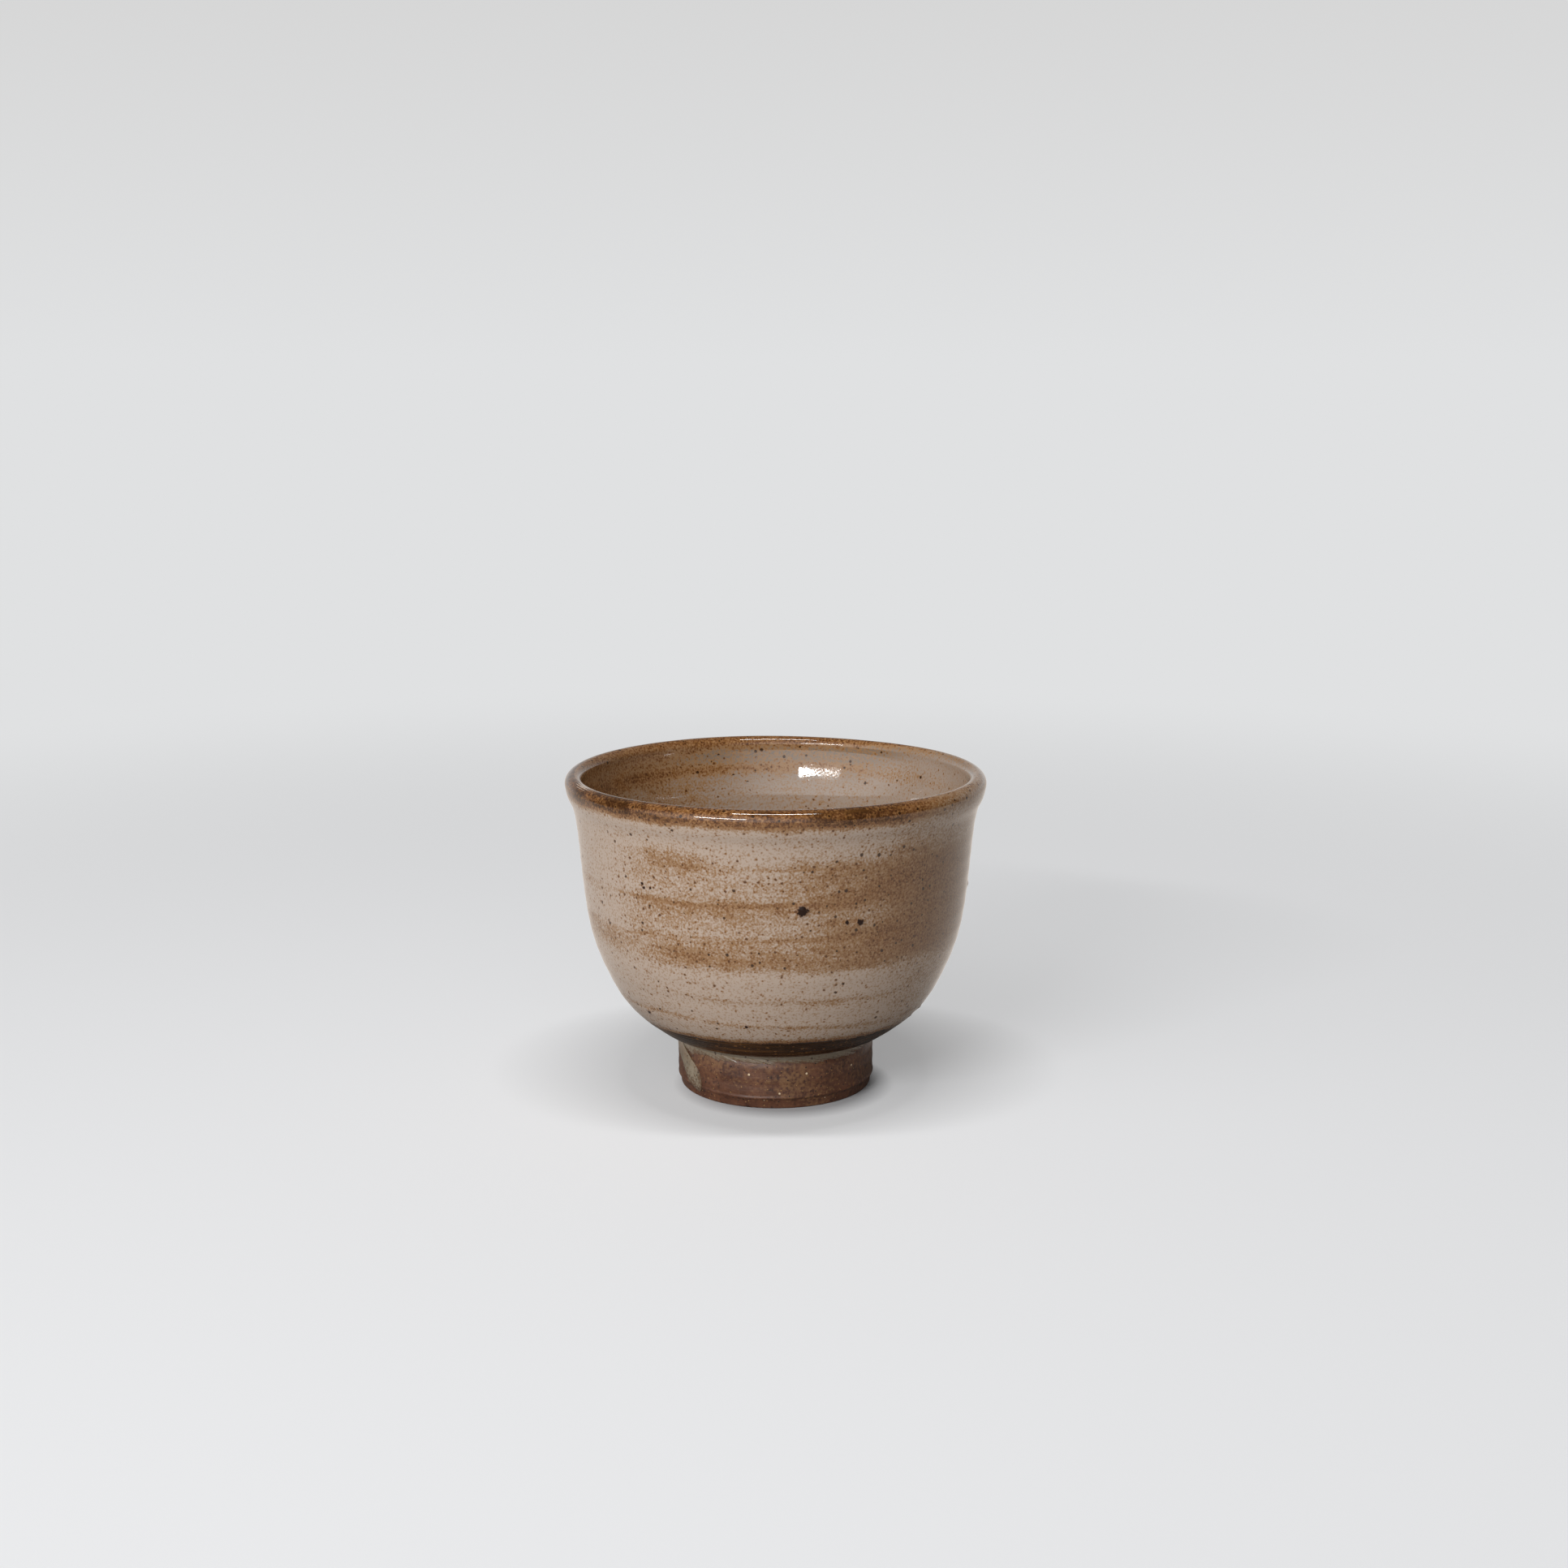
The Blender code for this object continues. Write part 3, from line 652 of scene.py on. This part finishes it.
        halo = add(tree, "Math", {0: add(tree, "MapRange", around), 1: held}, operation="MULTIPLY")
        colour = add(tree, "Mix", {"Factor": halo, "A": colour, "B": linear("#94693C")}, data_type="RGBA")
        soft = add(tree, "MapRange", {"Value": depth, "From Max": 0.08 * mm / spacing, "To Max": 0.92})
        speck = add(tree, "Math", {0: soft, 1: held}, operation="MULTIPLY")
        colour = add(tree, "Mix", {"Factor": speck, "A": colour, "B": linear(shade)}, data_type="RGBA")
        raised = add(tree, "Math", {0: speck, 1: 0.4, 2: raised}, operation="MULTIPLY_ADD")

    # Iron spots, each measured from its own place: burnt black-brown, with a frayed and scorched rim
    ragged = add(tree, "TexNoise", {"Vector": place, "Scale": per_metre(0.55 * mm), "Detail": 2.0})
    fray = {"Value": ragged, "From Min": 0.3, "From Max": 0.7, "To Min": -0.40, "To Max": 0.25}
    burst = add(tree, "MapRange", fray)
    nearest = -1.0
    for azimuth, height, radius in IRON_SPOTS:
        out = np.interp(height, outer_side[:, 1], outer_side[:, 0]) + COAT
        centre = (out * sin(azimuth), -out * cos(azimuth), height)
        away = add(tree, "VectorMath", {0: place, 1: centre}, "Value", operation="DISTANCE")
        inside = {"Value": away, "From Max": radius, "To Min": 1.0, "To Max": 0.0}
        within = add(tree, "MapRange", inside, clamp=False)
        nearest = add(tree, "Math", {0: nearest, 1: within}, operation="MAXIMUM")
    frayed = add(tree, "Math", {0: nearest, 1: burst}, operation="ADD")
    scorched = add(tree, "MapRange", {"Value": frayed, "From Min": -0.35, "From Max": 0.0, "To Max": 0.6})
    colour = add(tree, "Mix", {"Factor": scorched, "A": colour, "B": linear("#6E4525")}, data_type="RGBA")
    burnt = add(tree, "MapRange", {"Value": frayed, "From Min": 0.0, "From Max": 0.14})
    colour = add(tree, "Mix", {"Factor": burnt, "A": colour, "B": linear("#2A1912")}, data_type="RGBA")
    tree.links.new(colour, shader.inputs["Base Color"])

    sheen = {"Value": cloud, "From Min": 0.3, "From Max": 0.7, "To Min": 0.03, "To Max": 0.07}
    tree.links.new(add(tree, "MapRange", sheen), shader.inputs["Roughness"])
    shader.inputs["IOR"].default_value = 1.52

    # The skin of the underside and the burnt spots are dry, so they hardly mirror the room
    dry = add(tree, "Math", {0: bare, 1: burnt}, operation="MAXIMUM")
    gleam = add(tree, "MapRange", {"Value": dry, "To Min": 0.5, "To Max": 0.15})
    tree.links.new(gleam, shader.inputs["Specular IOR Level"])
    peel = add(tree, "MapRange", {"Value": shown, "From Max": 0.7, "To Min": 0.14, "To Max": 0.08})
    pitted = add(tree, "Math", {0: raised, 1: peel}, operation="MULTIPLY")
    relief = add(tree, "Bump", {"Height": pitted, "Strength": 1.0, "Distance": 0.04 * mm})
    tree.links.new(relief, shader.inputs["Normal"])
    return material


glaze = ash_glaze()
liner = coat("poured_liner", 0.0, inner_seam, rows=170, columns=400, ring=False)
liner.data.materials.append(glaze)
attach(liner, "root")
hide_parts("inner_glaze")

# Body glaze: the same ash glaze on the outside, dipped, then wiped level on the wheel into ochre streaks.
# It thins to a dark brown band under the bowl, down to the ledge over the foot.
body = coat("dipped_body_glaze", outer_seam, glaze_run[-1], rows=200, columns=440, ring=True)
body.data.materials.append(glaze)
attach(body, "root")
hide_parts("outer_glaze")

# Lip glaze: the band that saddles the rim, where the glaze drew off the edge and broke to iron brown. Its
# two ragged edges are in the colour, and its seams with the other coats lie in plain glaze.
lip = coat("lip_band", inner_seam, outer_seam, rows=72, columns=640, ring=True)
lip.data.materials.append(glaze)
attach(lip, "root")
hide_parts("lip_glaze")

# Foot glaze: a collar where glaze crept onto the top of the foot, with one broad run that sweeps down its
# left side and a sag beside that. It is a thin grey-green film, pale where it ran and brown along its
# ragged lower edge.
COLLAR_WIDTH = 1.8 * mm
COLLAR_SAG = 0.7 * mm
SAG_AZIMUTH = radians(-89)
SAG_SPREAD = radians(14)
RUN_LENGTH = 7.9 * mm
RUN_AZIMUTH = radians(-100)
RUN_SPREAD_BACK = radians(14)
RUN_SPREAD_FRONT = radians(8)
RUN_SQUARENESS = 2.1
RUN_SWEEP = radians(50)
RUN_SWEEP_DROP = 3.0 * mm
FILM_THICKNESS = 0.22 * mm
FILM_BEDDING = 0.15 * mm

# The columns walk along the outline of the run, a squared oval, so that they lie close at its steep edges,
# and then go evenly round the rest of the foot
walk = np.linspace(pi, 0, 240)
across = np.sign(np.cos(walk)) * np.abs(np.cos(walk)) ** (2 / RUN_SQUARENESS)
spread = np.where(across > 0, RUN_SPREAD_FRONT, RUN_SPREAD_BACK)
rest = np.linspace(RUN_SPREAD_FRONT, 2 * pi - RUN_SPREAD_BACK, 482)[1:-1]
column = RUN_AZIMUTH + np.concatenate((across * spread, rest))
run_share = np.concatenate((np.sin(walk) ** (2 / RUN_SQUARENESS), 0 * rest))
ragged = ((5, 0.3, 0.14), (13, 1.9, 0.12), (29, 0.8, 0.10), (47, 2.6, 0.08), (83, 0.9, 0.06))
sag = COLLAR_SAG * np.exp(-((turn_from(column, SAG_AZIMUTH) / SAG_SPREAD) ** 2))
hang = COLLAR_WIDTH + sag + mm * hand(column, ragged) + RUN_LENGTH * run_share
share = np.linspace(0, 1, 72)[:, None]
drop = share * hang
down = FOOT_HEIGHT - FIRING_GAP - drop
skin = np.interp(down, foot_side[::-1, 1], foot_side[::-1, 0])
film = skin + FILM_THICKNESS * (1 - share**2)
film_azimuth = column + RUN_SWEEP * (1 - np.exp(-drop / RUN_SWEEP_DROP))
behind = slice(None, None, -12)
collar = turned(
    "foot_collar_and_run",
    np.vstack((film, skin[behind] - FILM_BEDDING)),
    np.vstack((down, down[behind])),
    ring=True,
    azimuth=np.vstack((film_azimuth, film_azimuth[behind])),
    hung=np.vstack((share + 0 * drop, share[behind] + 0 * drop[behind])),
    ran=np.vstack((run_share + 0 * drop, run_share + 0 * drop[behind])),
)


def pooled_glaze():
    """The same ash glaze where it pooled on the foot: opaque grey-green, with iron dust and specks.

    It pales along the run and turns brown at the lower edge, where it is too thin to hide the clay.
    """
    material = bpy.data.materials.new("pooled_ash_glaze_on_bare_stoneware")
    material.use_nodes = True
    tree = material.node_tree
    shader = tree.nodes["Principled BSDF"]
    place = add(tree, "TexCoord", {}, "Object")
    hung = add(tree, "Attribute", {}, "Fac", attribute_name="hung")
    ran = add(tree, "Attribute", {}, "Fac", attribute_name="ran")
    cloud = add(tree, "TexNoise", {"Vector": place, "Scale": per_metre(2.2 * mm), "Detail": 4.0})
    dust = add(tree, "TexNoise", {"Vector": place, "Scale": per_metre(0.55 * mm), "Detail": 2.0})
    speck = add(tree, "TexVoronoi", {"Vector": place, "Scale": per_metre(1.3 * mm)})
    low = add(tree, "MapRange", {"Value": hung, "From Min": 0.25, "From Max": 0.55})
    pale = add(tree, "Math", {0: ran, 1: low}, operation="MULTIPLY")
    sockets = {"Factor": ran, "A": linear("#827460"), "B": linear("#7C6349")}
    colour = add(tree, "Mix", sockets, data_type="RGBA")
    colour = add(tree, "Mix", {"Factor": pale, "A": colour, "B": linear("#9C8F7B")}, data_type="RGBA")
    grey = add(tree, "MapRange", {"Value": cloud, "From Min": 0.4, "From Max": 0.7, "To Max": 0.55})
    colour = add(tree, "Mix", {"Factor": grey, "A": colour, "B": linear("#6F6453")}, data_type="RGBA")
    thin = add(tree, "Math", {0: dust, 1: hung}, operation="ADD")
    brown = add(tree, "MapRange", {"Value": thin, "From Min": 1.15, "From Max": 1.45, "To Max": 0.85})
    colour = add(tree, "Mix", {"Factor": brown, "A": colour, "B": linear("#5E4330")}, data_type="RGBA")
    dusty = add(tree, "MapRange", {"Value": dust, "From Min": 0.56, "From Max": 0.72, "To Max": 0.6})
    colour = add(tree, "Mix", {"Factor": dusty, "A": colour, "B": linear("#7A5F42")}, data_type="RGBA")
    inside = {"Value": speck, "From Min": 0.12, "From Max": 0.2, "To Min": 0.85, "To Max": 0.0}
    spot = add(tree, "MapRange", inside)
    colour = add(tree, "Mix", {"Factor": spot, "A": colour, "B": linear("#3A281C")}, data_type="RGBA")
    tree.links.new(colour, shader.inputs["Base Color"])
    shader.inputs["Roughness"].default_value = 0.24
    shader.inputs["IOR"].default_value = 1.52
    relief = add(tree, "Bump", {"Height": dust, "Strength": 1.0, "Distance": 0.03 * mm})
    tree.links.new(relief, shader.inputs["Normal"])
    return material


collar.data.materials.append(pooled_glaze())
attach(collar, "root")
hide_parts("foot_glaze")

# Studio: a plain pale floor that fades into the backdrop, a window's light and a small strip light from
# the front left, an overhead strip light, and a camera with a 50 mm lens at the photograph's angle.
FLOOR_COLOUR = "#C9CACC"
FLOOR_BOUNCE_COLOUR = "#938E88"
FLOOR_LIFT = 0.27
FLOOR_MIRRORED = 0.2
# Painted contact shadow on the floor: its middle, and the distances over which the camera's glow returns
PAINTED_SHADOW_MIDDLE = (1.5 * mm, -3.0 * mm, 0.0)
PAINTED_SHADOW_START = 17.4 * mm
PAINTED_SHADOW_END = 22.6 * mm
FLOOR_RADIUS = 1.5
FADE_START = 0.16
FADE_END = 0.55
FADE_SOONER = 5.5
BACKDROP_COLOUR = "#E0E1E2"
BACKDROP_TOP_COLOUR = "#D6D6D6"
BACKDROP_MIRRORED_COLOUR = "#DED4CB"
WINDOW_DIRECTION = (-0.49, -0.872, 0.0)
CAMERA_PLACE = (0.0017, -0.430, 0.1452)
CAMERA_PITCH = radians(10.99)

floor_mesh = bpy.data.meshes.new("studio_floor")
rim = azimuths(96)
floor_rim = np.column_stack((FLOOR_RADIUS * np.sin(rim), -FLOOR_RADIUS * np.cos(rim), 0 * rim))
floor_mesh.from_pydata(floor_rim.tolist(), [], [list(range(len(rim)))])
floor = bpy.data.objects.new("studio_floor", floor_mesh)
bpy.context.scene.collection.objects.link(floor)

# White paper, duller in the light it throws back at the cup. The camera sees it paler by a glow, but for a
# painted contact shadow close round the foot, centred a little right of and in front of it. Far out it
# becomes the backdrop, which is nearer and a little warm in reflections.
paper = bpy.data.materials.new("matte_white_paper")
paper.use_nodes = True
tree = paper.node_tree
tree.nodes.remove(tree.nodes["Principled BSDF"])
camera_ray = add(tree, "LightPath", {}, "Is Camera Ray")
mirrored = camera_ray.node.outputs["Is Glossy Ray"]
seen = add(tree, "Math", {0: camera_ray, 1: mirrored}, operation="MAXIMUM")
place = add(tree, "TexCoord", {}, "Object")
distance = add(tree, "VectorMath", {0: place}, "Value", operation="LENGTH")
sooner = add(tree, "Math", {0: mirrored, 1: FADE_SOONER, 2: 1.0}, operation="MULTIPLY_ADD")
reach = add(tree, "Math", {0: distance, 1: sooner}, operation="MULTIPLY")
fade = {"Value": reach, "From Min": FADE_START, "From Max": FADE_END}
far = add(tree, "MapRange", fade, interpolation_type="SMOOTHSTEP")
faded = add(tree, "Math", {0: far, 1: seen}, operation="MULTIPLY")
# Painted contact shadow: the camera's glow fades out near a point beside the foot
beside = add(tree, "VectorMath", {0: place, 1: PAINTED_SHADOW_MIDDLE}, "Value", operation="DISTANCE")
painted_shadow_edge = {"Value": beside, "From Min": PAINTED_SHADOW_START, "From Max": PAINTED_SHADOW_END, "To Max": FLOOR_LIFT}
lift_outside_painted_shadow = add(tree, "MapRange", painted_shadow_edge)
lift = add(tree, "Math", {0: camera_ray, 1: lift_outside_painted_shadow}, operation="MULTIPLY")
paled = add(tree, "Math", {0: mirrored, 1: FLOOR_MIRRORED, 2: camera_ray}, operation="MULTIPLY_ADD")
sockets = {"Factor": paled, "A": linear(FLOOR_BOUNCE_COLOUR), "B": linear(FLOOR_COLOUR)}
matte = add(tree, "BsdfDiffuse", {"Color": add(tree, "Mix", sockets, data_type="RGBA")})
lifted = add(tree, "AddShader", {0: matte, 1: add(tree, "Emission", {"Strength": lift})})
sockets = {"Factor": mirrored, "A": linear(BACKDROP_COLOUR), "B": linear(BACKDROP_MIRRORED_COLOUR)}
glow = add(tree, "Emission", {"Color": add(tree, "Mix", sockets, data_type="RGBA"), "Strength": 1.0})
surface = add(tree, "MixShader", {0: faded, 1: lifted, 2: glow})
tree.links.new(surface, tree.nodes["Material Output"].inputs["Surface"])
floor_mesh.materials.append(paper)

# The room lights the cup with a broad window at the front left and a pale wall behind that dims upward.
# The camera sees a plain backdrop in its place.
world = bpy.data.worlds.new("white_studio")
world.use_nodes = True
bpy.context.scene.world = world
sky = world.node_tree
direction = add(sky, "TexCoord", {}, "Generated")
axes = add(sky, "SeparateXYZ", {"Vector": direction})
window = add(sky, "VectorMath", {0: direction, 1: WINDOW_DIRECTION}, "Value", operation="DOT_PRODUCT")
lobe = {"Value": window, "From Min": 0.34, "From Max": 1.0, "To Min": 0.04, "To Max": 1.78}
daylight = add(sky, "MapRange", lobe, interpolation_type="SMOOTHSTEP")
back_wall = {"Value": axes.node.outputs["Y"], "From Min": 0.30, "From Max": 0.80, "To Max": 0.65}
behind_cup = add(sky, "MapRange", back_wall, interpolation_type="SMOOTHSTEP")
upward = axes.node.outputs["Z"]
dimmed = {"Value": upward, "From Min": 0.05, "From Max": 0.40, "To Min": 1.0, "To Max": 0.25}
wall_and_window = {0: behind_cup, 1: add(sky, "MapRange", dimmed), 2: daylight}
room = add(sky, "Math", wall_and_window, operation="MULTIPLY_ADD")
climb = add(sky, "MapRange", {"Value": upward, "From Max": 0.16})
sockets = {"Factor": climb, "A": linear(BACKDROP_COLOUR), "B": linear(BACKDROP_TOP_COLOUR)}
backdrop = add(sky, "Mix", sockets, data_type="RGBA")
lit = add(sky, "Background", {"Color": linear("#FFFFFF"), "Strength": room})
plain = add(sky, "Background", {"Color": backdrop, "Strength": 1.0})
both = add(sky, "MixShader", {0: add(sky, "LightPath", {}, "Is Camera Ray"), 1: lit, 2: plain})
sky.links.new(both, sky.nodes["World Output"].inputs["Surface"])


def strip_light(name, place, width, depth, watts):
    """A rectangular soft light at a place, turned to face the cup."""
    lamp = bpy.data.lights.new(name, "AREA")
    lamp.shape = "RECTANGLE"
    lamp.size, lamp.size_y = width, depth
    lamp.energy = watts
    holder = bpy.data.objects.new(name, lamp)
    bpy.context.scene.collection.objects.link(holder)
    holder.location = place
    holder.rotation_euler = (Vector((0, 0, RIM_HEIGHT)) - Vector(place)).to_track_quat("-Z", "Y").to_euler()


strip_light("overhead_strip", (0.0, -0.14, 0.93), width=0.42, depth=0.045, watts=3.4)
strip_light("front_left_strip", (-0.36, -0.64, 0.372), width=0.38, depth=0.028, watts=2.4)

camera_data = bpy.data.cameras.new("photo_camera")
camera_data.lens = 50.0
camera_data.sensor_width = 36.0
camera = bpy.data.objects.new("photo_camera", camera_data)
bpy.context.scene.collection.objects.link(camera)
camera.location = CAMERA_PLACE
camera.rotation_euler = (pi / 2 - CAMERA_PITCH, 0, 0)
bpy.context.scene.camera = camera
bpy.context.scene.view_settings.view_transform = "Standard"
